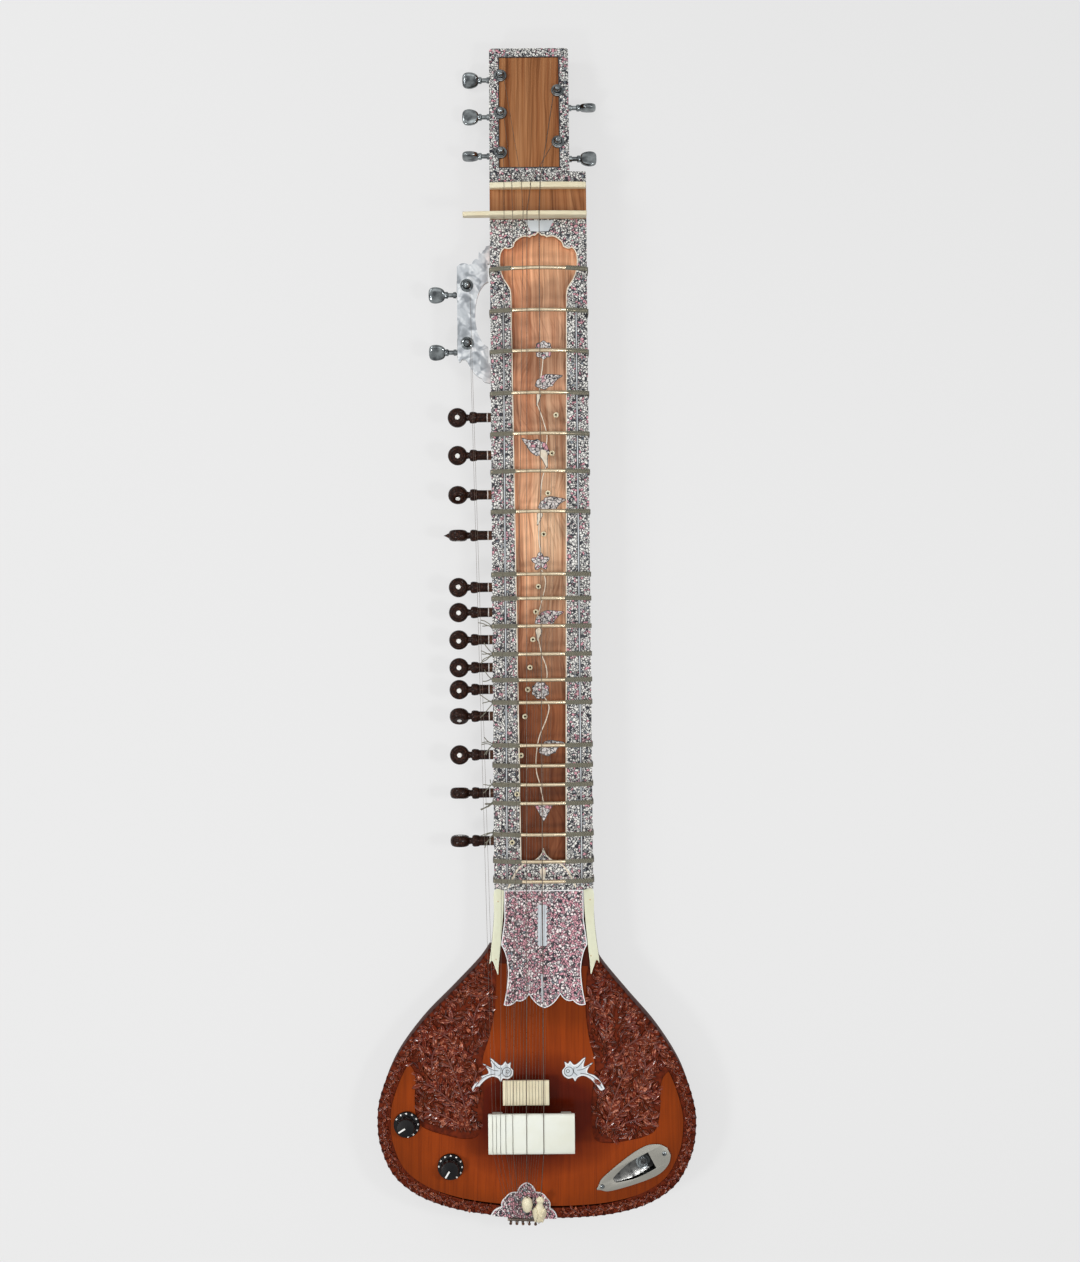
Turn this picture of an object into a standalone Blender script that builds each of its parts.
"""An electric sitar lying on its back: flat carved body, long hollow neck with tied movable
frets, thirteen pegs for the sympathetic strings and seven worm-gear tuners.

Metres, +Z out of the face, +Y along the neck to the head, +X to the right of the face.
The origin is on the back of the body, below the main bridge.
"""

import math

import bmesh
import bpy
from mathutils import Matrix, Vector

# Clearances
GAP = 0.0003
RUNNING_GAP = 0.0003

# Body
BODY_DEPTH = 0.050
BODY_WIDTH = 0.3066
BODY_LENGTH = 0.2500
SHOULDER_Y = 0.160
BODY_SHIFT = -0.0025
BODY_LEAN = math.radians(2.2)
# Half of the outline from the shoulder to the tail, as shares of the half width and the length
BODY_OUTLINE = (
    (0.335, -0.030),
    (0.400, 0.030),
    (0.560, 0.140),
    (0.742, 0.262),
    (0.900, 0.405),
    (0.985, 0.545),
    (1.000, 0.645),
    (0.975, 0.745),
    (0.885, 0.855),
    (0.720, 0.930),
    (0.500, 0.974),
    (0.250, 0.994),
    (0.000, 1.000),
)
RIM_WIDTH = 0.0125
LEDGE_WIDTH = 0.0045
BACK_THICKNESS = 0.006
BACK_ROUNDING = 0.009
FACE_ROUNDING = 0.0015
SOUNDBOARD_THICKNESS = 0.0035
TAIL_SLOT_WIDTH = 0.040

# Heel, joint plate and tenon
NECK_START_NOTE = 25.17
HEEL_ROOT_WIDTH = 0.1060
HEEL_OVERLAP = 0.030
PLATE_THICKNESS = 0.0017
PLATE_LENGTH = 0.1130
# Half of the joint plate: its side petal with a split tip, and its tongue with scalloped tips,
# as shares of the neck's half width there and of the plate's length
PLATE_OUTLINE = (
    (1.084, 0.425),
    (1.116, 0.584),
    (1.053, 0.588),
    (0.973, 0.699),
    (0.926, 0.531),
    (0.867, 0.469),
    (0.796, 0.602),
    (0.737, 0.735),
    (0.825, 0.973),
    (0.568, 0.938),
    (0.312, 0.894),
    (0.211, 0.938),
    (0.000, 1.000),
)
TENON_LENGTH = 0.055
TENON_WIDTH = 0.044
TENON_HEIGHT = 0.024

# Strings and frets along the neck
BREAK_Y = 0.030
SCALE_LENGTH = 0.8407
NECK_WIDTH_AT_HEEL = 0.0950
NECK_WIDTH_AT_HEAD = 0.0926
NECK_DEPTH = 0.046
NECK_SIDE = 0.023
NECK_WALL = 0.008
NECK_ARC = 12
TROUGH_DEPTH = 0.006
TROUGH_FLOOR = 0.005
TROUGH_WIDTH = 0.0736
TROUGH_BELOW_NUT = 0.0135
ARCH_LENGTH = 0.0620
FOOT_LENGTH = 0.0275
FOOT_ABOVE_HEEL = 0.0110
# Half of the trough: the cusped arch from its point down, and the foot from its side to its point
TROUGH_ARCH = (
    (0.014, 0.000),
    (0.217, 0.061),
    (0.557, 0.100),
    (0.647, 0.202),
    (0.875, 0.226),
    (1.000, 0.332),
    (1.000, 0.548),
    (0.908, 0.716),
    (0.739, 0.842),
    (0.712, 1.000),
)
TROUGH_FOOT = (
    (0.576, 0.655),
    (0.639, 0.218),
    (0.810, 0.000),
    (0.435, 0.407),
    (0.234, 0.669),
    (0.005, 1.000),
)
FRET_NOTES = (1.04, 1.94, 2.86, 3.86, 4.89, 5.90, 7.05, 9.01, 9.83, 10.82,
              11.88, 12.92, 13.88, 15.87, 16.90, 17.92, 18.98, 20.93, 22.80, 24.33)
FRET_RISE = 0.0150
FRET_ROD = 0.0042
THREAD_WIDTH = 0.0042
THREAD_THICKNESS = 0.0016

# Nut and string guide
NUT_THICKNESS = 0.0040
NUT_RISE = 0.0194
NUT_CROWN = 0.0025
NUT_EXTENSION = 0.0255
NUT_EXTENSION_DEPTH = 0.011
GUIDE_TO_NUT = 0.0284
GUIDE_THICKNESS = 0.0053
GUIDE_RISE = 0.0100
GUIDE_CROWN = 0.0020

# Pegs of the sympathetic strings: the place of each as a note on the neck, and its turn
PEG_NOTES = (4.39, 5.39, 6.50, 7.72, 9.42, 10.30, 11.32, 12.42, 13.34, 14.53, 16.41, 18.50, 21.52)
PEG_TURNS = (0, 8, 48, 88, -6, 4, 12, 0, 10, 55, 0, 84, 92)
PEG_DROP = 0.0170
PEG_RADIUS = 0.0046
PEG_TIP_RADIUS = 0.0034
PEG_REACH = 0.070
PEG_STANDOFF = 0.0143
PEG_COLLAR_RADIUS = 0.0058
PEG_COLLAR_LENGTH = 0.0070
PEG_WAIST_RADIUS = 0.0034
PEG_WAIST_LENGTH = 0.0022
PEG_KNOB_LENGTH = 0.0190
PEG_KNOB_WIDTH = 0.0190
PEG_KNOB_THICKNESS = 0.0118
EYELET_RADIUS = 0.0026
EYELET_BORE = 0.0010
EYELET_RISE = 0.0015
EYELET_LOW_X = -0.0300
EYELET_HIGH_X = 0.0156

# Head and its tuners
HEAD_FROM_GUIDE = 0.0170
HEAD_TILT = math.radians(11.0)
HEAD_LENGTH = 0.1285
HEAD_WIDTH = 0.0768
HEAD_THICKNESS = 0.018
HEAD_TO_NECK_LENGTH = 0.050
HEAD_BORDER = 0.0096
HEAD_RECESS = 0.0010
HEAD_CORNER = 0.0030
HEAD_ROOT = 0.0040
TUNER_INSET = 0.0107
LEFT_TUNERS = (0.1000, 0.0610, 0.0200)
RIGHT_TUNERS = (0.0840, 0.0305)
WORM_OFFSET = 0.0070
POST_RADIUS = 0.0030
POST_RISE = 0.0080
POST_SIDES = 8
BUSH_RADIUS = 0.0062
BUSH_RISE = 0.0016
HOUSING_LENGTH = 0.0210
HOUSING_WIDTH = 0.0185
WORM_DEPTH = 0.0052
WORM_RADIUS = 0.0022
WORM_REACH = 0.0110
BUTTON_STANDOFF = 0.0110
BUTTON_LENGTH = 0.0160
BUTTON_WIDTH = 0.0176
BUTTON_THICKNESS = 0.0072
BUTTON_COLLAR_RADIUS = 0.0034
BUTTON_COLLAR_LENGTH = 0.0030
BUTTON_TURNS = (42, 6, 88, 84, 10, 20, 30)

# Side bracket with the two upper tuners
BRACKET_BELOW_NUT = 0.0229
BRACKET_LENGTH = 0.1332
BRACKET_WIDTH = 0.0322
BRACKET_THICKNESS = 0.0080
BRACKET_DROP = 0.0100
BRACKET_HOUSING_DEPTH = 0.0115
BRACKET_TUNERS = (0.0385, 0.0943)
BRACKET_TUNER_OUT = 0.0228
WINDOW_LENGTH = 0.0640
WINDOW_WIDTH = 0.0150
WINDOW_DOWN = 0.0345
# The bracket from its upper inner corner round to its lower one, as shares of its width and length
BRACKET_OUTLINE = (
    (0.124, 0.007),
    (0.211, 0.036),
    (0.335, 0.044),
    (0.351, 0.104),
    (0.553, 0.134),
    (1.000, 0.150),
    (1.000, 0.816),
    (0.938, 0.844),
    (0.661, 0.865),
    (0.280, 0.962),
    (0.155, 0.991),
)

# Main bridge
BRIDGE_X = -0.0135
BRIDGE_WIDTH = 0.0817
BRIDGE_LENGTH = 0.0380
BRIDGE_HEIGHT = 0.0330
BRIDGE_TOP = 0.0050
BRIDGE_BASE_WIDTH = 0.0760
BRIDGE_BASE_LENGTH = 0.0270
BRIDGE_FOOT_WIDTH = 0.0100
BRIDGE_ARCH_HEIGHT = 0.0200
# The crown of both bridges' plates: places along them, and heights as shares of their thickness
BRIDGE_CROWN = ((-0.50, 0.55), (-0.42, 0.92), (0.00, 1.00), (0.42, 0.94), (0.50, 0.60))

# Bridge of the sympathetic strings
TARAF_X = -0.0186
TARAF_Y = 0.0345
TARAF_WIDTH = 0.0442
TARAF_LENGTH = 0.0240
TARAF_HEIGHT = 0.0140
TARAF_TOP = 0.0035
TARAF_FOOT_WIDTH = 0.0080
TARAF_ARCH_HEIGHT = 0.0060

# Knobs, as shares of the body's half width and of its length, and their pots
KNOB_PLACES = ((-0.8144, 0.6497), (-0.532, 0.8063))
KNOB_RADIUS = 0.0125
KNOB_HEIGHT = 0.0150
KNOB_TOP_RADIUS = 0.0108
KNOB_SHAFT_RADIUS = 0.0030
KNOB_SHAFT_LENGTH = 0.0110
KNOB_LIFT = 0.0010
KNOB_SIDES = 16
POT_RADIUS = 0.0080
POT_DEPTH = 0.0090
PICKUP_RADIUS = 0.0135
PICKUP_THICKNESS = 0.0015

# Jack plate
JACK_PLACE = (0.6108, 0.799)
JACK_TURN = math.radians(27.5)
JACK_LENGTH = 0.0784
JACK_WIDTH = 0.0300
JACK_THICKNESS = 0.0018
JACK_DISH_LENGTH = 0.0415
JACK_DISH_WIDTH = 0.0174
JACK_DISH_DEPTH = 0.0130
JACK_CUP_WALL = 0.0016
SOCKET_BORE = 0.0033
SOCKET_RADIUS = 0.0055
SOCKET_LENGTH = 0.0140

# Strings: places across the bridge and the nut, from the bridge's and the neck's centre lines
STRING_RADIUS = 0.0004
TARAF_RADIUS = 0.0003
BRIDGE_PLACES = (-0.0368, -0.0332, -0.0293, -0.0243, -0.0177, -0.0046, 0.0115)
NUT_PLACES = (-0.0323, -0.0241, -0.0142, -0.0105, 0.0010)
TARAF_SPACING = 0.0030
TAIL_PLACES = (-0.0228, -0.0208, -0.0178, -0.0146, -0.0116, -0.0064, 0.0048)
TAIL_BAR_WIDTH = 0.0300
TAIL_BAR_HEIGHT = 0.0120
TAIL_BAR_THICKNESS = 0.0025
TAIL_PINS = 5
TAIL_PIN_RADIUS = 0.0013
TAIL_PIN_LENGTH = 0.0050
TAIL_LIFT = 0.0045
TAIL_DROP = 0.0050
TARAF_TAIL_LIFT = 0.0020

# Tuning beads, as places along the strings from the tail
BEAD_BORE = 0.0010
EGG_LENGTH = 0.0172
EGG_WIDTH = 0.0104
EGG_PLACE = 0.0215
SWAN_LENGTH = 0.0300
SWAN_WIDTH = 0.0125
SWAN_PLACE = 0.0165
# The swan from its tail to its beak: places along it, and widths as shares of its width
SWAN_SHAPE = (
    (-0.50, 0.30),
    (-0.36, 0.80),
    (-0.12, 1.00),
    (0.10, 0.62),
    (0.24, 0.42),
    (0.36, 0.66),
    (0.44, 0.60),
    (0.50, 0.30),
)

# What follows from the sizes above
FACE_Z = BODY_DEPTH + GAP + PLATE_THICKNESS
NECK_START = BREAK_Y + SCALE_LENGTH * 2 ** (-NECK_START_NOTE / 12)
HEEL_LENGTH = NECK_START - SHOULDER_Y
PEG_HEIGHT = FACE_Z - PEG_DROP
NUT_Y = BREAK_Y + SCALE_LENGTH
GUIDE_Y = NUT_Y + GUIDE_TO_NUT
HEAD_Y = GUIDE_Y + HEAD_FROM_GUIDE
NECK_CAVITY_TOP = FACE_Z - TROUGH_DEPTH - TROUGH_FLOOR
HEAD_FRAME = Matrix.Translation((0, HEAD_Y, FACE_Z)) @ Matrix.Rotation(-HEAD_TILT, 4, "X")
HEAD_LEFT = -NECK_WIDTH_AT_HEAD / 2
BODY_FRAME = Matrix.Translation((BODY_SHIFT, SHOULDER_Y, 0)) @ Matrix.Rotation(-BODY_LEAN, 4, "Z")

MATERIALS = {
    "carved_wood": ((0.22, 0.035, 0.015), 0.32, 0.0),
    "soundboard": ((0.47, 0.13, 0.035), 0.22, 0.0),
    "neck_wood": ((0.40, 0.16, 0.06), 0.35, 0.0),
    "bone": ((0.80, 0.74, 0.60), 0.38, 0.0),
    "ebony": ((0.03, 0.025, 0.02), 0.35, 0.0),
    "rosewood": ((0.10, 0.035, 0.02), 0.34, 0.0),
    "pearloid": ((0.55, 0.57, 0.58), 0.30, 0.0),
    "brass": ((0.72, 0.56, 0.30), 0.28, 1.0),
    "chrome": ((0.80, 0.80, 0.80), 0.12, 1.0),
    "steel": ((0.62, 0.62, 0.64), 0.25, 1.0),
    "black_plastic": ((0.02, 0.02, 0.02), 0.35, 0.0),
}

for old in list(bpy.data.objects):
    bpy.data.objects.remove(old)


def collection(name):
    made = bpy.data.collections.new(name)
    bpy.context.scene.collection.children.link(made)
    return made


PARTS = collection("electric_sitar")
CUTTERS = collection("cutters")


def material(name):
    found = bpy.data.materials.get(name)
    if found:
        return found
    colour, roughness, metallic = MATERIALS[name]
    made = bpy.data.materials.new(name)
    made.use_nodes = True
    shader = made.node_tree.nodes["Principled BSDF"]
    shader.inputs["Base Color"].default_value = (*colour, 1)
    shader.inputs["Roughness"].default_value = roughness
    shader.inputs["Metallic"].default_value = metallic
    return made


def mesh_object(name, mesh, finish=None):
    """A new part with its material, or a cutter where no finish is given."""
    made = bpy.data.objects.new(name, mesh)
    (PARTS if finish else CUTTERS).objects.link(made)
    if finish:
        mesh.materials.clear()
        mesh.materials.append(material(finish))
    else:
        made.hide_render = True
        made.display_type = "WIRE"
    return made


def mesh_of(name, bm, smooth_angle=35):
    bmesh.ops.recalc_face_normals(bm, faces=bm.faces)
    mesh = bpy.data.meshes.new(name)
    bm.to_mesh(mesh)
    bm.free()
    mesh.shade_smooth()
    mesh.set_sharp_from_angle(angle=math.radians(smooth_angle))
    return mesh


def loft(name, rings, cyclic=False):
    """A closed skin through rings of equal count: flat ends, or joined round when cyclic."""
    bm = bmesh.new()
    rows = [[bm.verts.new(point) for point in ring] for ring in rings]
    following = rows[1:] + ([rows[0]] if cyclic else [])
    for low, high in zip(rows, following):
        for i in range(len(low)):
            bm.faces.new((low[i - 1], low[i], high[i], high[i - 1]))
    if not cyclic:
        bm.faces.new(rows[0])
        bm.faces.new(rows[-1])
    return mesh_of(name, bm)


def mesh_from_curve(name, curve):
    """The curve's solid as a mesh with its caps welded."""
    holder = bpy.data.objects.new(name, curve)
    bpy.context.scene.collection.objects.link(holder)
    bpy.context.view_layer.update()
    seen = holder.evaluated_get(bpy.context.evaluated_depsgraph_get())
    bm = bmesh.new()
    bm.from_mesh(bpy.data.meshes.new_from_object(seen))
    bpy.data.objects.remove(holder)
    bmesh.ops.remove_doubles(bm, verts=bm.verts, dist=0.00001)
    return mesh_of(name, bm)


def flat_plate(name, outline, low, high):
    """A flat outline in X and Y, filled and given its thickness from low to high."""
    curve = bpy.data.curves.new(name, "CURVE")
    curve.dimensions = "2D"
    curve.fill_mode = "BOTH"
    curve.extrude = (high - low) / 2
    spline = curve.splines.new("POLY")
    spline.points.add(len(outline) - 1)
    for point, (x, y) in zip(spline.points, outline):
        point.co = (x, y, 0, 1)
    spline.use_cyclic_u = True
    mesh = mesh_from_curve(name, curve)
    mesh.transform(Matrix.Translation((0, 0, (low + high) / 2)))
    return mesh


def wire(name, points, radius):
    curve = bpy.data.curves.new(name, "CURVE")
    curve.dimensions = "3D"
    curve.bevel_depth = radius
    curve.bevel_resolution = 0
    curve.use_fill_caps = True
    spline = curve.splines.new("POLY")
    spline.points.add(len(points) - 1)
    for point, place in zip(spline.points, points):
        point.co = (*place, 1)
    return mesh_from_curve(name, curve)


def cylinder(name, radius, low, high, sides=12):
    """A cylinder about Z, between two heights."""
    bm = bmesh.new()
    bmesh.ops.create_cone(bm, cap_ends=True, segments=sides, radius1=radius, radius2=radius,
                          depth=high - low, matrix=Matrix.Translation((0, 0, (low + high) / 2)))
    return mesh_of(name, bm)


def block(name, low, high):
    """A box between two corners."""
    low, high = Vector(low), Vector(high)
    size = high - low
    bm = bmesh.new()
    middle = Matrix.Translation((low + high) / 2)
    bmesh.ops.create_cube(bm, size=1, matrix=middle @ Matrix.Diagonal((*size, 1)))
    return mesh_of(name, bm)


def boolean(target, mesh, operation, place=None):
    """Cuts a mesh from the target or joins it on, at an optional place."""
    other = mesh_object(mesh.name, mesh)
    if place is not None:
        other.matrix_world = place
    modifier = target.modifiers.new(mesh.name, "BOOLEAN")
    modifier.operation = operation
    modifier.object = other
    modifier.solver = "EXACT"


def cut(target, mesh, place=None):
    boolean(target, mesh, "DIFFERENCE", place)


def join(target, mesh, place=None):
    boolean(target, mesh, "UNION", place)


def turning_profile(name, profile):
    """A line of radii and heights, from the top's centre down the outer side to the base's."""
    mesh = bpy.data.meshes.new(name)
    count = len(profile)
    mesh.from_pydata([(radius, 0, height) for radius, height in profile],
                     [(i, i + 1) for i in range(count - 1)], [])
    return mesh


def turned(name, profile_mesh, finish, sides):
    """A part turned about its own Z from a profile."""
    part = mesh_object(name, profile_mesh, finish)
    screw = part.modifiers.new("turning", "SCREW")
    screw.steps = sides
    screw.render_steps = sides
    screw.use_merge_vertices = True
    screw.merge_threshold = 0.00001
    return part


def hole_radius(radius, sides=12, gap=RUNNING_GAP):
    """The corner radius of a faceted hole whose flats clear a round piece."""
    return (radius + gap) / math.cos(math.pi / sides)


def smooth_line(points, steps):
    """Points on a Catmull-Rom line through the given ones, with as many steps between each two."""
    ends = [points[0], *points, points[-1]]
    line = []
    for before, start, end, after in zip(ends, ends[1:], ends[2:], ends[3:]):
        for step in range(steps):
            t = step / steps
            line.append(tuple(
                0.5 * (2 * p1 + (p2 - p0) * t + (2 * p0 - 5 * p1 + 4 * p2 - p3) * t * t
                       + (3 * p1 - p0 - 3 * p2 + p3) * t ** 3)
                for p0, p1, p2, p3 in zip(before, start, end, after)))
    return [*line, tuple(points[-1])]


def mirrored(half):
    """A closed outline from its right half, which starts and ends on the centre line or beside it."""
    left = [(-x, y) for x, y in reversed(half) if x > 1e-6]
    return [*half, *left]


def inset(outline, distance):
    """The outline moved inwards by a distance, along each corner's bisector."""
    points = [Vector(point) for point in outline]
    area = sum(a.x * b.y - b.x * a.y for a, b in zip(points, points[1:] + points[:1]))
    side = math.copysign(1, area)
    moved = []
    for i, point in enumerate(points):
        before = (point - points[i - 1]).normalized()
        after = (points[(i + 1) % len(points)] - point).normalized()
        normals = [Vector((-run.y, run.x)) * side for run in (before, after)]
        bisector = (normals[0] + normals[1]).normalized()
        moved.append(tuple(point + bisector * distance / max(bisector.dot(normals[0]), 0.4)))
    return moved


def place(outline, frame):
    return [tuple((frame @ Vector((*point, 0)))[:2]) for point in outline]


def note_y(note):
    """Where a note lies along the neck, in semitones above the open string."""
    return BREAK_Y + SCALE_LENGTH * 2 ** (-note / 12)


def neck_half_width(y):
    share = (y - NECK_START) / (HEAD_Y - NECK_START)
    return (NECK_WIDTH_AT_HEEL + share * (NECK_WIDTH_AT_HEAD - NECK_WIDTH_AT_HEEL)) / 2


def u_section(half, top, side, depth, segments):
    """A U in X and Z: straight sides down from the top, closed by half an ellipse."""
    spring = top - side
    arc = [math.pi * (1 + i / segments) for i in range(segments + 1)]
    return ([(-half, top)]
            + [(half * math.cos(a), spring + (depth - side) * math.sin(a)) for a in arc]
            + [(half, top)])


def station(section, y):
    return [(x, y, z) for x, z in section]


def body_outline():
    half = [(BODY_WIDTH / 2 * x, -BODY_LENGTH * y) for x, y in BODY_OUTLINE]
    return place(mirrored(smooth_line(half, 2)), BODY_FRAME)


def body_point(shares, z=0.0):
    """A place on the body given as shares of its half width and its length."""
    x, y = shares
    return BODY_FRAME @ Vector((BODY_WIDTH / 2 * x, -BODY_LENGTH * y, z))


def make_body():
    outline = body_outline()
    levels = [(0.0, BACK_ROUNDING), (0.3 * BACK_ROUNDING, 0.3 * BACK_ROUNDING), (BACK_ROUNDING, 0.0),
              (BODY_DEPTH - FACE_ROUNDING, 0.0), (BODY_DEPTH, FACE_ROUNDING)]
    rings = [[(x, y, z) for x, y in inset(outline, distance)] for z, distance in levels]
    body = mesh_object("body_shell", loft("body_shell", rings), "carved_wood")
    join(body, heel_mesh())
    ledge_z = BODY_DEPTH - SOUNDBOARD_THICKNESS - GAP
    over = BODY_DEPTH + PLATE_THICKNESS
    cut(body, flat_plate("soundboard_rebate", inset(outline, RIM_WIDTH), ledge_z, over))
    cut(body, flat_plate("body_hollow", inset(outline, RIM_WIDTH + LEDGE_WIDTH), BACK_THICKNESS, over))
    for number, shares in enumerate(KNOB_PLACES, 1):
        room = cylinder(f"pot_room_{number}", POT_RADIUS + 4 * GAP, ledge_z - POT_DEPTH - GAP, over, 16)
        cut(body, room, Matrix.Translation(body_point(shares)))
    join(body, neck_block_mesh())
    cut(body, tenon_mesh("mortise", GAP))
    return body


def heel_mesh():
    """The heel: it takes the neck's section and swells into the shoulders."""
    top = BODY_DEPTH
    start = neck_half_width(NECK_START)
    root = HEEL_ROOT_WIDTH / 2
    drop = NECK_DEPTH - (FACE_Z - BODY_DEPTH)
    shares = (0.0, 0.35, 0.7, 1.0)
    rings = []
    for share in shares:
        half = start + (root - start) * share ** 2
        depth = drop + (BODY_DEPTH - drop) * share
        y = NECK_START - GAP - share * (HEEL_LENGTH - GAP)
        rings.append(station(u_section(half, top, NECK_SIDE, depth, NECK_ARC), y))
    inside = SHOULDER_Y - HEEL_OVERLAP / 3
    rings.append(station(u_section(root, top, NECK_SIDE, BODY_DEPTH, NECK_ARC), inside))
    return loft("heel", rings)


def neck_block_mesh():
    """The solid block inside the body that holds the tenon."""
    half = TENON_WIDTH / 2 + NECK_WALL
    top = BODY_DEPTH - SOUNDBOARD_THICKNESS - GAP
    return block("neck_block", (-half, NECK_START - TENON_LENGTH - NECK_WALL - GAP, BACK_THICKNESS / 2),
                 (half, SHOULDER_Y, top - GAP))


def tenon_mesh(name, clearance):
    half = TENON_WIDTH / 2 + clearance
    middle = FACE_Z - NECK_DEPTH / 2
    tall = TENON_HEIGHT / 2 + clearance
    return block(name, (-half, NECK_START - TENON_LENGTH - clearance, middle - tall),
                 (half, NECK_START + NECK_WALL, middle + tall))


def make_soundboard():
    outline = inset(body_outline(), RIM_WIDTH + GAP)
    low = BODY_DEPTH - SOUNDBOARD_THICKNESS
    board = mesh_object("soundboard", flat_plate("soundboard", outline, low, BODY_DEPTH), "soundboard")
    for number, shares in enumerate(KNOB_PLACES, 1):
        at = Matrix.Translation(body_point(shares))
        join(board, cylinder(f"pot_{number}", POT_RADIUS, low - POT_DEPTH, low + GAP), at)
        foot = BODY_DEPTH - KNOB_SHAFT_LENGTH - GAP
        cut(board, cylinder(f"pot_bore_{number}", hole_radius(KNOB_SHAFT_RADIUS), foot, BODY_DEPTH + GAP), at)
    pickup = cylinder("contact_pickup", PICKUP_RADIUS, low - PICKUP_THICKNESS, low + GAP)
    join(board, pickup, Matrix.Translation((BRIDGE_X, 0, 0)))
    jack_hole = dish_outline(JACK_CUP_WALL + GAP)
    cut(board, flat_plate("jack_hole", jack_hole, low - GAP, BODY_DEPTH + GAP), jack_frame())
    return board


def trough_outline():
    """The recess of the neck's face: a cusped arch, straight sides, and an ogee point below."""
    half = TROUGH_WIDTH / 2
    top = NUT_Y - TROUGH_BELOW_NUT
    low = NECK_START + FOOT_ABOVE_HEEL
    return mirrored([(half * x, top - ARCH_LENGTH * y) for x, y in TROUGH_ARCH]
                    + [(half * x, low + FOOT_LENGTH * y) for x, y in TROUGH_FOOT])


def make_neck():
    rings = []
    head_depth = HEAD_THICKNESS + 2 * HEAD_CORNER
    depths = ((NECK_START, NECK_DEPTH), (NUT_Y - NUT_THICKNESS, NECK_DEPTH), (HEAD_Y, head_depth))
    for y, depth in depths:
        side = min(NECK_SIDE, depth * 0.5)
        rings.append(station(u_section(neck_half_width(y), FACE_Z, side, depth, NECK_ARC), y))
    neck = mesh_object("neck", loft("neck", rings), "neck_wood")
    join(neck, head_mesh(), HEAD_FRAME)
    join(neck, flat_plate("joint_plate", joint_plate_outline(), BODY_DEPTH + GAP, FACE_Z))
    join(neck, tenon_mesh("tenon", 0))
    join(neck, guide_mesh())
    cut(neck, neck_hollow_mesh())
    cut(neck, flat_plate("trough", trough_outline(), FACE_Z - TROUGH_DEPTH, FACE_Z + GAP))
    cut(neck, head_recess_mesh(), HEAD_FRAME)
    for number, note in enumerate(PEG_NOTES, 1):
        y = note_y(note)
        across = Matrix.Translation((0, y, PEG_HEIGHT)) @ Matrix.Rotation(math.pi / 2, 4, "Y")
        side = -neck_half_width(y)
        reach = 2 * NECK_WALL
        peg_hole = cylinder(f"peg_hole_{number}", hole_radius(PEG_RADIUS), side - reach, side + reach)
        cut(neck, peg_hole, across)
        low, high = NECK_CAVITY_TOP - NECK_WALL / 2, FACE_Z + EYELET_RISE
        over_hole = Matrix.Translation((eyelet_x(y), y, 0))
        join(neck, cylinder(f"eyelet_{number}", EYELET_RADIUS, low + NECK_WALL, high, 8), over_hole)
        cut(neck, cylinder(f"eyelet_bore_{number}", EYELET_BORE, low, high + GAP, 8), over_hole)
    for side, u in head_tuners():
        x = tuner_x(side)
        housing, bush = housing_meshes(side, HEAD_THICKNESS, head_housing_depth())
        at = HEAD_FRAME @ Matrix.Translation((x, u, 0))
        join(neck, housing, at)
        join(neck, bush, at)
        for bore in tuner_bores(side, HEAD_THICKNESS):
            cut(neck, bore, at)
    return neck


def neck_hollow_mesh():
    wall = NECK_WALL
    rings = []
    for y in (NECK_START + 2 * wall, NUT_Y - 3 * wall):
        half = neck_half_width(y) - wall
        side = NECK_CAVITY_TOP - (FACE_Z - NECK_SIDE)
        depth = NECK_CAVITY_TOP - (FACE_Z - NECK_DEPTH) - wall
        rings.append(station(u_section(half, NECK_CAVITY_TOP, side, depth, 10), y))
    return loft("neck_hollow", rings)


def joint_plate_outline():
    """The plate over the heel: two side petals with split tips, and the tongue with scalloped tips."""
    edge = neck_half_width(NECK_START)
    half = [(edge - NECK_WALL, NECK_START + NECK_WALL), (edge, NECK_START)]
    return mirrored(half + [(edge * x, NECK_START - PLATE_LENGTH * y) for x, y in PLATE_OUTLINE])


def guide_mesh():
    """The upper string guide, a bar across the neck with a slight crown."""
    half = neck_half_width(GUIDE_Y) - GAP
    return crowned_bar("string_guide", -half, half, FACE_Z - GAP, FACE_Z + GUIDE_RISE, GUIDE_CROWN,
                       GUIDE_Y, GUIDE_THICKNESS)


def crowned_bar(name, left, right, low, high, crown, y, thickness, steps=8):
    """A bar from left to right, flat below, with its top falling by the crown at both ends."""
    def top(x):
        share = (2 * x - left - right) / (right - left)
        return high - crown * share * share
    xs = [left + (right - left) * i / steps for i in range(steps + 1)]
    profile = [(x, top(x)) for x in xs] + [(right, low), (left, low)]
    return loft(name, [station(profile, y), station(profile, y + thickness)])


def make_nut():
    """The nut across the neck, with its extension to the left."""
    half = neck_half_width(NUT_Y)
    low = FACE_Z + GAP
    high = FACE_Z + NUT_RISE
    left = -half - NUT_EXTENSION
    bar = crowned_bar("meru_nut", left, half, low, high, NUT_CROWN, NUT_Y, NUT_THICKNESS)
    nut = mesh_object("meru_nut", bar, "bone")
    relief_top = high - NUT_CROWN - NUT_EXTENSION_DEPTH
    cut(nut, block("nut_relief", (left - GAP, NUT_Y - GAP, low - GAP),
                   (-half, NUT_Y + NUT_THICKNESS + GAP, relief_top)))
    return nut


def head_mesh():
    right = HEAD_LEFT + HEAD_WIDTH
    corner = HEAD_CORNER
    outline = [(HEAD_LEFT, -HEAD_ROOT), (right, -HEAD_ROOT),
               (right, HEAD_LENGTH - corner), (right - corner, HEAD_LENGTH),
               (HEAD_LEFT + corner, HEAD_LENGTH), (HEAD_LEFT, HEAD_LENGTH - corner)]
    return flat_plate("head", outline, -HEAD_THICKNESS, 0)


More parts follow.
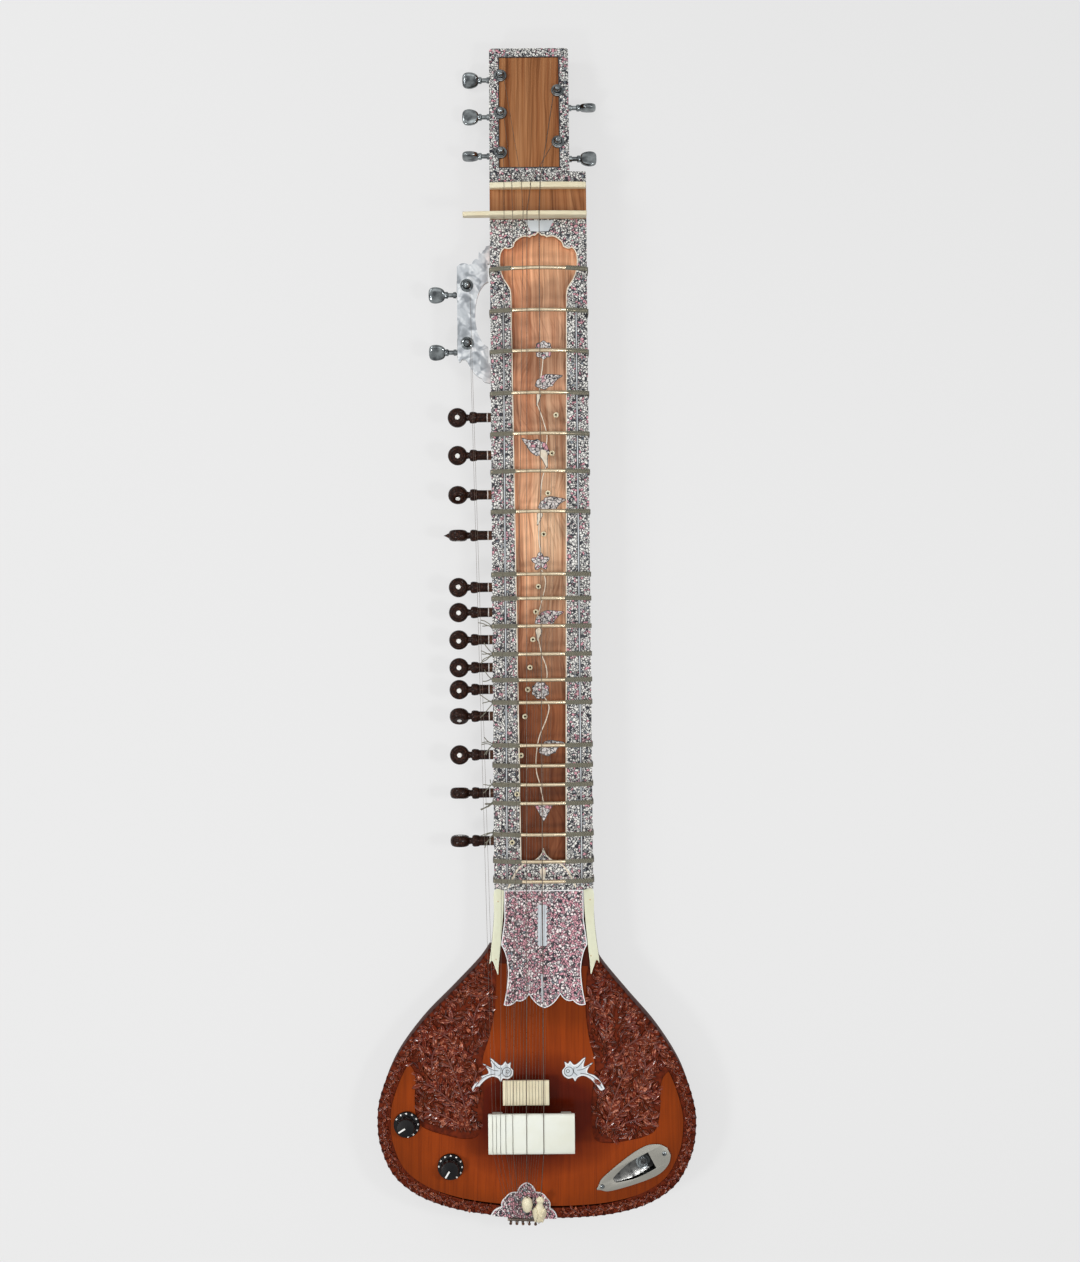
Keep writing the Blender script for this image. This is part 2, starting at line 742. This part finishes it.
def head_recess_mesh():
    right = HEAD_LEFT + HEAD_WIDTH
    return block("head_recess", (HEAD_LEFT + HEAD_BORDER, HEAD_BORDER / 2, -HEAD_RECESS),
                 (right - HEAD_BORDER, HEAD_LENGTH - HEAD_BORDER, HEAD_BORDER))


def head_tuners():
    """Side (left -1, right 1) and place along the head of each tuner."""
    return [(-1, u) for u in LEFT_TUNERS] + [(1, u) for u in RIGHT_TUNERS]


def tuner_x(side):
    return HEAD_LEFT + TUNER_INSET if side < 0 else HEAD_LEFT + HEAD_WIDTH - TUNER_INSET


def worm_u(side):
    """The worm's offset along the head: above the post on the left, below it on the right."""
    return -side * WORM_OFFSET


def head_housing_depth():
    """Deep enough for the furthest housing to stand on the same level as the body's back."""
    far = max(LEFT_TUNERS) + WORM_OFFSET / 2 + HOUSING_LENGTH / 2
    return (FACE_Z - far * math.sin(HEAD_TILT)) / math.cos(HEAD_TILT) - HEAD_THICKNESS


def housing_meshes(side, thickness, depth):
    """A tuner's closed housing below its plate, and the bush above it, about the post's axis."""
    middle = worm_u(side) / 2
    outer = side * (TUNER_INSET - 2 * GAP)
    inner = outer - side * HOUSING_WIDTH
    housing = block("housing", (min(outer, inner), middle - HOUSING_LENGTH / 2, -thickness - depth),
                    (max(outer, inner), middle + HOUSING_LENGTH / 2, -thickness + 2 * GAP))
    bush = cylinder("bush", BUSH_RADIUS, -HEAD_RECESS - 2 * GAP, BUSH_RISE, 6)
    return housing, bush


def tuner_bores(side, thickness):
    """The bores that a post and its worm shaft turn in."""
    post = cylinder("post_bore", hole_radius(POST_RADIUS), -thickness - WORM_DEPTH - WORM_RADIUS - GAP,
                    POST_RISE)
    worm = cylinder("worm_bore", hole_radius(WORM_RADIUS), TUNER_INSET - WORM_REACH - GAP,
                    TUNER_INSET + BUTTON_STANDOFF / 2)
    across = Matrix.Rotation(side * math.pi / 2, 4, "Y")
    worm.transform(Matrix.Translation((0, worm_u(side), -thickness - WORM_DEPTH)) @ across)
    return post, worm


def post_profile(thickness):
    """A string post with a waist for the string, and its foot inside the housing."""
    foot = -thickness - WORM_DEPTH - WORM_RADIUS
    waist = 0.8 * POST_RADIUS
    profile = [(0, POST_RISE), (POST_RADIUS, POST_RISE), (POST_RADIUS, 0.80 * POST_RISE),
               (waist, 0.65 * POST_RISE), (POST_RADIUS, 0.35 * POST_RISE), (POST_RADIUS, foot), (0, foot)]
    return turning_profile("tuner_post", profile)


def grip_mesh(name, length, width, thickness, tail, sides=8):
    """A flattened grip on a round shaft along X. The tail lists places and radii from the grip's end."""
    rings = []
    steps = 5
    for i in range(steps + 1):
        angle = math.pi * (0.1 + 0.78 * i / steps)
        x = -length * (1 + math.cos(angle)) / 2
        rings.append((x, width / 2 * math.sin(angle), thickness / 2 * math.sin(angle) ** 0.7))
    rings += [(x, radius, radius) for x, radius in tail]
    turns = [math.tau * (i + 0.5) / sides for i in range(sides)]
    skin = [[(x, wide * math.cos(a), thick * math.sin(a)) for a in turns] for x, wide, thick in rings]
    return loft(name, skin)


def button_mesh():
    """A tuner's button and worm shaft, with the housing's face at X = 0."""
    collar = BUTTON_STANDOFF - BUTTON_COLLAR_LENGTH
    tail = [(0.0, BUTTON_COLLAR_RADIUS), (BUTTON_COLLAR_LENGTH, BUTTON_COLLAR_RADIUS),
            (BUTTON_COLLAR_LENGTH, WORM_RADIUS), (BUTTON_STANDOFF + WORM_REACH, WORM_RADIUS)]
    mesh = grip_mesh("tuner_button", BUTTON_LENGTH, BUTTON_WIDTH, BUTTON_THICKNESS, tail)
    mesh.transform(Matrix.Translation((-collar - BUTTON_COLLAR_LENGTH, 0, 0)))
    return mesh


def peg_mesh():
    """A peg along X with the neck's side at X = 0: knob, waist, collar and tapered shaft."""
    collar = PEG_WAIST_LENGTH
    end = collar + PEG_COLLAR_LENGTH
    tail = [(0.0, PEG_WAIST_RADIUS), (collar, PEG_WAIST_RADIUS), (collar, 0.8 * PEG_COLLAR_RADIUS),
            (0.5 * (collar + end), PEG_COLLAR_RADIUS), (end, 0.9 * PEG_COLLAR_RADIUS), (end, PEG_RADIUS),
            (end + PEG_STANDOFF + PEG_REACH, PEG_TIP_RADIUS)]
    mesh = grip_mesh("taraf_peg", PEG_KNOB_LENGTH, PEG_KNOB_WIDTH, PEG_KNOB_THICKNESS, tail)
    mesh.transform(Matrix.Translation((-PEG_STANDOFF - end, 0, 0)))
    return mesh


def eyelet_x(y):
    share = (y - note_y(PEG_NOTES[-1])) / (note_y(PEG_NOTES[0]) - note_y(PEG_NOTES[-1]))
    return EYELET_LOW_X + share * (EYELET_HIGH_X - EYELET_LOW_X)


def make_pegs():
    mesh = peg_mesh()
    for number, (note, turn) in enumerate(zip(PEG_NOTES, PEG_TURNS), 1):
        y = note_y(note)
        peg = mesh_object(f"taraf_peg_{number:02d}", mesh, "rosewood")
        peg.location = (-neck_half_width(y), y, PEG_HEIGHT)
        peg.rotation_euler = (math.radians(turn), 0, 0)


def make_frets():
    for number, note in enumerate(FRET_NOTES, 1):
        y = note_y(note)
        fret = mesh_object(f"fret_{number:02d}", fret_mesh(neck_half_width(y)), "brass")
        fret.location = (0, y, 0)


def fret_mesh(half):
    """One fret about the neck: an arched rod over the face, and its thread tied round the back."""
    edge = half + GAP
    base = FACE_Z + GAP
    crest = FACE_Z + FRET_RISE - FRET_ROD
    arch = []
    steps = 8
    for i in range(1, steps):
        share = 2 * i / steps - 1
        x = -share * edge
        arch.append((x, base + (crest - base) * (1 - share * share), FRET_ROD / 2, FRET_ROD))
    around = u_section(edge, base, NECK_SIDE + GAP, NECK_DEPTH + 2 * GAP, NECK_ARC)
    path = [(x, z, THREAD_WIDTH / 2, THREAD_THICKNESS) for x, z in around] + arch
    rings = []
    for i, (x, z, wide, thick) in enumerate(path):
        before, after = path[i - 1], path[(i + 1) % len(path)]
        run = Vector((after[0] - before[0], after[1] - before[1])).normalized()
        out = Vector((run.y, -run.x))
        section = [(-1, 0.5), (-0.5, 0), (0.5, 0), (1, 0.5), (0.5, 1), (-0.5, 1)]
        rings.append([(x + out.x * n * thick, y * wide, z + out.y * n * thick) for y, n in section])
    return loft("fret", rings, cyclic=True)


def add_tuner(number, frame, side, x, u, thickness, turn):
    """A post and its button. The frame's Z is the post's axis, and its X lies across the neck."""
    post = turned(f"tuner_post_{number}", post_profile(thickness), "chrome", POST_SIDES)
    post.matrix_world = frame @ Matrix.Translation((x, u, 0))
    button = mesh_object(f"tuner_button_{number}", button_mesh(), "chrome")
    worm = Matrix.Translation((x + side * TUNER_INSET, u + worm_u(side), -thickness - WORM_DEPTH))
    spin = Matrix.Rotation(math.radians(turn), 4, "X")
    flip = Matrix.Rotation(math.pi if side > 0 else 0, 4, "Z")
    button.matrix_world = frame @ worm @ flip @ spin


def make_head_tuners():
    for number, (side, u) in enumerate(head_tuners(), 1):
        add_tuner(number, HEAD_FRAME, side, tuner_x(side), u, HEAD_THICKNESS, BUTTON_TURNS[number - 1])


def bracket_frame():
    """At the bracket's upper inner corner, with Y up the neck."""
    y = NUT_Y - BRACKET_BELOW_NUT
    return Matrix.Translation((-neck_half_width(y - BRACKET_LENGTH / 2), y, FACE_Z - BRACKET_DROP))


def bracket_outline():
    """The plate's outline, with its inner edge on the neck's side and the window cut into it."""
    inner = -2 * GAP
    steps = 8
    outer = [(-BRACKET_WIDTH * x, -BRACKET_LENGTH * y) for x, y in BRACKET_OUTLINE]
    window = []
    for i in range(steps + 1):
        angle = math.pi * i / steps
        window.append((inner - WINDOW_WIDTH * math.sin(angle),
                       -WINDOW_DOWN - WINDOW_LENGTH / 2 * (1 + math.cos(angle))))
    return [(inner, 0.0), *outer, (inner, -BRACKET_LENGTH), *window]


def make_bracket():
    frame = bracket_frame()
    plate = flat_plate("chikari_bracket", bracket_outline(), -BRACKET_THICKNESS, 0)
    bracket = mesh_object("chikari_bracket", plate, "pearloid")
    bracket.matrix_world = frame
    for note in FRET_NOTES[:3]:
        reach = THREAD_THICKNESS + 4 * GAP
        room = THREAD_WIDTH / 2 + fret_range(note)[1] + 2 * GAP
        notch = block("thread_notch", (-reach, -room, -BRACKET_THICKNESS - GAP), (NECK_WALL, room, GAP))
        cut(bracket, notch, Matrix.Translation((frame.translation.x, note_y(note), frame.translation.z)))
    for down in BRACKET_TUNERS:
        at = frame @ Matrix.Translation((-BRACKET_TUNER_OUT, -down, 0))
        housing, bush = housing_meshes(-1, BRACKET_THICKNESS, BRACKET_HOUSING_DEPTH)
        flip = Matrix.Diagonal((1, -1, 1, 1))
        housing.transform(flip)
        housing.flip_normals()
        join(bracket, housing, at)
        join(bracket, bush, at)
        for bore in tuner_bores(-1, BRACKET_THICKNESS):
            bore.transform(flip)
            bore.flip_normals()
            cut(bracket, bore, at)
    return bracket


def make_bracket_tuners():
    frame = bracket_frame()
    first = len(head_tuners()) + 1
    for number, down in enumerate(BRACKET_TUNERS, first):
        post = turned(f"tuner_post_{number}", post_profile(BRACKET_THICKNESS), "chrome", POST_SIDES)
        post.matrix_world = frame @ Matrix.Translation((-BRACKET_TUNER_OUT, -down, 0))
        button = mesh_object(f"tuner_button_{number}", button_mesh(), "chrome")
        worm = Matrix.Translation((-BRACKET_TUNER_OUT - TUNER_INSET, -down - WORM_OFFSET,
                                   -BRACKET_THICKNESS - WORM_DEPTH))
        spin = Matrix.Rotation(math.radians(BUTTON_TURNS[number - 1]), 4, "X")
        button.matrix_world = frame @ worm @ spin


def fret_range(note):
    """How far a fret can be slid down and up the neck: to the next peg, fret or bracket, 6 mm at most."""
    y = note_y(note)
    most = 0.006
    peg_room = THREAD_WIDTH / 2 + PEG_RADIUS + 2 * GAP
    fret_room = (THREAD_WIDTH + 2 * GAP) / 2
    down, up = most, most
    for other in PEG_NOTES:
        away = note_y(other) - y
        if away > 0:
            up = min(up, away - peg_room)
        else:
            down = min(down, -away - peg_room)
    for other in FRET_NOTES:
        away = note_y(other) - y
        if away > 0:
            up = min(up, away / 2 - fret_room)
        elif away < 0:
            down = min(down, -away / 2 - fret_room)
    return -down, up


def arch_profile(width, height, top, base, foot, arch, steps=8):
    """A bridge seen from the neck: a wide top on a narrower base with an arch between two feet."""
    shelf = height - top
    half, low_half = width / 2, base / 2
    inner = low_half - foot
    left = [(-half, height), (-half, shelf), (-low_half, shelf - top / 2), (-low_half, 0), (-inner, 0)]
    curve = [(-inner * math.cos(math.pi * i / steps), arch * math.sin(math.pi * i / steps) ** 0.4)
             for i in range(1, steps)]
    right = [(-x, z) for x, z in reversed(left)]
    return left + curve + right


def bridge_mesh(name, width, length, height, top, base, base_length, foot, arch):
    """A bridge: its base is as long as its feet, and its top plate longer, with a fall on both sides."""
    profile = arch_profile(base, height - top / 2, top / 2, base, foot, arch)
    low = loft(name + "_base", [station(profile, -base_length / 2), station(profile, base_length / 2)])
    rings = []
    for along, share in BRIDGE_CROWN:
        y = along * length
        under = height - top
        rings.append([(-width / 2, y, under), (width / 2, y, under), (width / 2, y, under + top * share),
                      (-width / 2, y, under + top * share)])
    return low, loft(name + "_plate", rings)


def make_bridge(name, x, y, width, length, height, top, base, base_length, foot, arch, finish):
    low, plate = bridge_mesh(name, width, length, height, top, base, base_length, foot, arch)
    bridge = mesh_object(name, plate, finish)
    join(bridge, low, Matrix.Translation((x, y, BODY_DEPTH + GAP)))
    bridge.location = (x, y, BODY_DEPTH + GAP)
    return bridge


def make_bridges():
    make_bridge("main_bridge", BRIDGE_X, 0, BRIDGE_WIDTH, BRIDGE_LENGTH, BRIDGE_HEIGHT - GAP, BRIDGE_TOP,
                BRIDGE_BASE_WIDTH, BRIDGE_BASE_LENGTH, BRIDGE_FOOT_WIDTH, BRIDGE_ARCH_HEIGHT, "bone")
    make_bridge("taraf_bridge", TARAF_X, TARAF_Y, TARAF_WIDTH, TARAF_LENGTH, TARAF_HEIGHT - GAP, TARAF_TOP,
                0.92 * TARAF_WIDTH, 0.8 * TARAF_LENGTH, TARAF_FOOT_WIDTH, TARAF_ARCH_HEIGHT, "bone")


def make_knobs():
    shaft_foot = BODY_DEPTH - KNOB_SHAFT_LENGTH
    base = BODY_DEPTH + KNOB_LIFT
    top = base + KNOB_HEIGHT
    profile = [(0, top), (0.92 * KNOB_TOP_RADIUS, top), (KNOB_TOP_RADIUS, top - 0.0010),
               (0.98 * KNOB_RADIUS, base + 0.0030), (KNOB_RADIUS, base), (KNOB_SHAFT_RADIUS, base),
               (KNOB_SHAFT_RADIUS, shaft_foot), (0, shaft_foot)]
    mesh = turning_profile("control_knob", profile)
    for name, shares in zip(("volume_knob", "tone_knob"), KNOB_PLACES):
        knob = turned(name, mesh, "black_plastic", KNOB_SIDES)
        knob.location = body_point(shares)


def jack_frame():
    return Matrix.Translation(body_point(JACK_PLACE)) @ Matrix.Rotation(JACK_TURN, 4, "Z")


def jack_outline():
    """The boat-shaped plate: a point at one end, a full round at the other."""
    half = JACK_WIDTH / 2
    bow = -JACK_LENGTH / 2
    stern = JACK_LENGTH / 2
    side = [(bow, 0.06 * half), (bow + 0.14 * JACK_LENGTH, 0.50 * half), (0.0, 0.90 * half),
            (0.26 * JACK_LENGTH, half), (stern - 0.42 * half, 0.72 * half), (stern, 0.0)]
    line = smooth_line(side, 3)
    return line + [(x, -y) for x, y in reversed(line[:-1])]


def dish_outline(grow=0.0):
    """The dish: a teardrop that widens to a straight end, grown by a wall."""
    end = JACK_DISH_LENGTH / 2
    half = JACK_DISH_WIDTH / 2
    side = [(-end, 0.0), (-0.72 * end, 0.42 * half), (-0.2 * end, 0.85 * half), (0.4 * end, half),
            (end, 0.98 * half)]
    outline = side + [(x, -y) for x, y in reversed(side[1:])]
    return inset(outline, -grow) if grow else outline


def sloped_dish(name, grow):
    """The dish as a solid: its floor runs down from the point to the straight end."""
    outline = dish_outline(grow)
    end = JACK_DISH_LENGTH / 2
    slope = JACK_DISH_DEPTH / JACK_DISH_LENGTH
    wall = JACK_CUP_WALL if grow else 0.0
    over = -GAP if grow else GAP
    top = [(x, y, BODY_DEPTH + JACK_THICKNESS + over) for x, y in outline]
    floor = [(x, y, BODY_DEPTH - slope * (x + end) - wall - GAP) for x, y in outline]
    return loft(name, [floor, top])


def socket_mesh(name, radius, low, high):
    """A cylinder square to the dish's floor, near its deep end."""
    slope = math.atan2(JACK_DISH_DEPTH, JACK_DISH_LENGTH)
    x = 0.55 * JACK_DISH_LENGTH / 2
    depth = BODY_DEPTH - JACK_DISH_DEPTH * (x + JACK_DISH_LENGTH / 2) / JACK_DISH_LENGTH
    mesh = cylinder(name, radius, low, high, 12)
    mesh.transform(Matrix.Translation((x, 0, depth)) @ Matrix.Rotation(slope, 4, "Y"))
    return mesh


def make_jack_plate():
    frame = jack_frame()
    low = BODY_DEPTH + GAP
    sheet = flat_plate("jack_plate", jack_outline(), low, low + JACK_THICKNESS - GAP)
    plate = mesh_object("jack_plate", sheet, "chrome")
    plate.matrix_world = frame
    join(plate, sloped_dish("dish_cup", JACK_CUP_WALL), frame)
    join(plate, socket_mesh("socket_barrel", SOCKET_RADIUS, -SOCKET_LENGTH, -GAP), frame)
    cut(plate, sloped_dish("dish", 0.0), frame)
    join(plate, socket_mesh("socket_nut", SOCKET_RADIUS, -JACK_CUP_WALL, 0.0012), frame)
    cut(plate, socket_mesh("socket_bore", SOCKET_BORE, -SOCKET_LENGTH - GAP, 0.010), frame)
    return plate


def tail_point(x, z, out=0.0):
    """A place on the tail end's face, at a height and a distance outwards."""
    return BODY_FRAME @ Vector((x, -BODY_LENGTH - out, z))


def main_string_paths():
    """Each playing string: its post, nut, bridge and tail pin."""
    over = STRING_RADIUS + GAP
    crest = BODY_DEPTH + BRIDGE_HEIGHT + over
    bridge = [(along * BRIDGE_LENGTH, crest - (1 - share) * BRIDGE_TOP)
              for along, share in reversed(BRIDGE_CROWN[1:-1])]
    bar_top = BODY_DEPTH - TAIL_DROP
    posts = string_ends()
    paths = []
    for place_x, tail_x, start in zip(BRIDGE_PLACES, TAIL_PLACES, posts):
        x = BRIDGE_X + place_x
        middle = [Vector((x, y, z)) for y, z in bridge]
        edge = tail_point(tail_x, BODY_DEPTH + TAIL_LIFT, TAIL_BAR_THICKNESS + GAP)
        hook = tail_point(tail_x, bar_top, GAP + TAIL_BAR_THICKNESS / 2)
        paths.append([*start, *middle, edge, hook])
    return paths


def string_ends():
    """The upper ends of the seven strings: two at the bracket's posts, five over the nut to the head."""
    ends = []
    reach = POST_RADIUS + STRING_RADIUS + GAP
    frame = bracket_frame()
    for down in reversed(BRACKET_TUNERS):
        post = frame @ Vector((-BRACKET_TUNER_OUT, -down, 0.65 * POST_RISE))
        ends.append([post + Vector((reach, 0, 0))])
    order = [(-1, u) for u in reversed(LEFT_TUNERS)] + [(1, u) for u in reversed(RIGHT_TUNERS)]
    over = STRING_RADIUS + GAP
    nut_half = neck_half_width(NUT_Y)
    for x, (side, u) in zip(NUT_PLACES, order):
        post = HEAD_FRAME @ Vector((tuner_x(side) - side * reach, u, 0.65 * POST_RISE))
        share = (2 * x + NUT_EXTENSION) / (2 * nut_half + NUT_EXTENSION)
        nut_z = FACE_Z + NUT_RISE - NUT_CROWN * share * share + over
        guide_z = FACE_Z + GUIDE_RISE - GUIDE_CROWN * (x / nut_half) ** 2 + over
        toward = (GUIDE_Y - NUT_Y) / (post.y - NUT_Y)
        guide_x = x + (post.x - x) * 0.35 * toward
        over_guide = [Vector((guide_x, GUIDE_Y + along, guide_z)) for along in (GUIDE_THICKNESS, 0)]
        over_nut = [Vector((x, NUT_Y + along, nut_z)) for along in (NUT_THICKNESS, 0)]
        ends.append([post, *over_guide, *over_nut])
    return ends


def taraf_paths():
    """Each sympathetic string: up its eyelet, over its bridge, through the main one's arch to the tail."""
    over = TARAF_RADIUS + GAP
    front, back = TARAF_Y + 0.40 * TARAF_LENGTH, TARAF_Y - 0.40 * TARAF_LENGTH
    crest = BODY_DEPTH + TARAF_HEIGHT + over
    count = len(PEG_NOTES)
    behind = GAP + TAIL_BAR_THICKNESS / 2
    paths = []
    for number, note in enumerate(PEG_NOTES):
        y = note_y(note)
        x = TARAF_X + (count - 1) / 2 * TARAF_SPACING - number * TARAF_SPACING
        hole = eyelet_x(y)
        tail_x = TAIL_PLACES[0] + TAIL_BAR_WIDTH * (0.03 + 0.67 * (count - 1 - number) / (count - 1))
        paths.append([Vector((hole, y, PEG_HEIGHT + PEG_RADIUS + 3 * over)),
                      Vector((hole, y, FACE_Z + EYELET_RISE + over)),
                      Vector((x, front, crest)), Vector((x, back, crest)),
                      tail_point(tail_x, BODY_DEPTH + TARAF_TAIL_LIFT, behind),
                      tail_point(tail_x, BODY_DEPTH - TAIL_DROP, behind)])
    return paths


def make_strings():
    """All strings, joined at the tail bar that they hook to."""
    left = TAIL_PLACES[0] - TAIL_BAR_THICKNESS
    low = BODY_DEPTH - TAIL_BAR_HEIGHT - 3 * GAP
    front = -BODY_LENGTH - GAP
    bar_mesh = block("tail_bar", (left, front - TAIL_BAR_THICKNESS, low),
                     (left + TAIL_BAR_WIDTH, front, low + TAIL_BAR_HEIGHT))
    bar = mesh_object("strings", bar_mesh, "steel")
    bar.matrix_world = BODY_FRAME
    for number in range(TAIL_PINS):
        x = left + TAIL_BAR_WIDTH * (number + 0.5) / TAIL_PINS
        pin = cylinder("tail_pin", TAIL_PIN_RADIUS, -TAIL_BAR_THICKNESS / 2, TAIL_PIN_LENGTH, 6)
        out = Matrix.Translation((x, front - TAIL_BAR_THICKNESS, low + TAIL_BAR_HEIGHT * 0.6))
        join(bar, pin, BODY_FRAME @ out @ Matrix.Rotation(math.pi / 2, 4, "X"))
    for number, path in enumerate(main_string_paths(), 1):
        join(bar, wire(f"string_{number}", path, STRING_RADIUS))
    for number, path in enumerate(taraf_paths(), 1):
        join(bar, wire(f"taraf_{number}", path, TARAF_RADIUS))
    return bar


def bead_mesh(name, stations, sides=8):
    """A bead along X with a bore: the skin outside, and back through the bore."""
    turns = [math.tau * (i + 0.5) / sides for i in range(sides)]
    first, last = stations[0][0], stations[-1][0]
    rings = [[(x, wide * math.cos(a), tall * math.sin(a)) for a in turns] for x, wide, tall in stations]
    bore = [[(x, BEAD_BORE * math.cos(a), BEAD_BORE * math.sin(a)) for a in turns] for x in (last, first)]
    return loft(name, rings + bore, cyclic=True)


def bead_place(string, along):
    """A frame on a string behind the bridge, at a distance from the tail, with X pointing up the string."""
    path = main_string_paths()[string]
    high, low = path[-3], path[-2]
    run = (high - low).normalized()
    turn = run.to_track_quat("X", "Z").to_matrix().to_4x4()
    return Matrix.Translation(low + run * along) @ turn


def make_beads():
    egg = []
    for i in range(7):
        angle = math.pi * (0.12 + 0.76 * i / 6)
        radius = EGG_WIDTH / 2 * math.sin(angle) * (1 - 0.08 * math.cos(angle))
        egg.append((-EGG_LENGTH / 2 * math.cos(angle), radius, radius))
    bead = mesh_object("egg_bead", bead_mesh("egg_bead", egg), "bone")
    bead.matrix_world = bead_place(5, EGG_PLACE)
    swan = [(along * SWAN_LENGTH, wide * SWAN_WIDTH / 2, 0.8 * wide * SWAN_WIDTH / 2)
            for along, wide in SWAN_SHAPE]
    bead = mesh_object("swan_bead", bead_mesh("swan_bead", swan), "bone")
    bead.matrix_world = bead_place(6, SWAN_PLACE)


def main():
    make_body()
    make_soundboard()
    make_neck()
    make_nut()
    make_bracket()
    make_bridges()
    make_jack_plate()
    make_knobs()
    make_frets()
    make_pegs()
    make_head_tuners()
    make_bracket_tuners()
    make_strings()
    make_beads()


main()
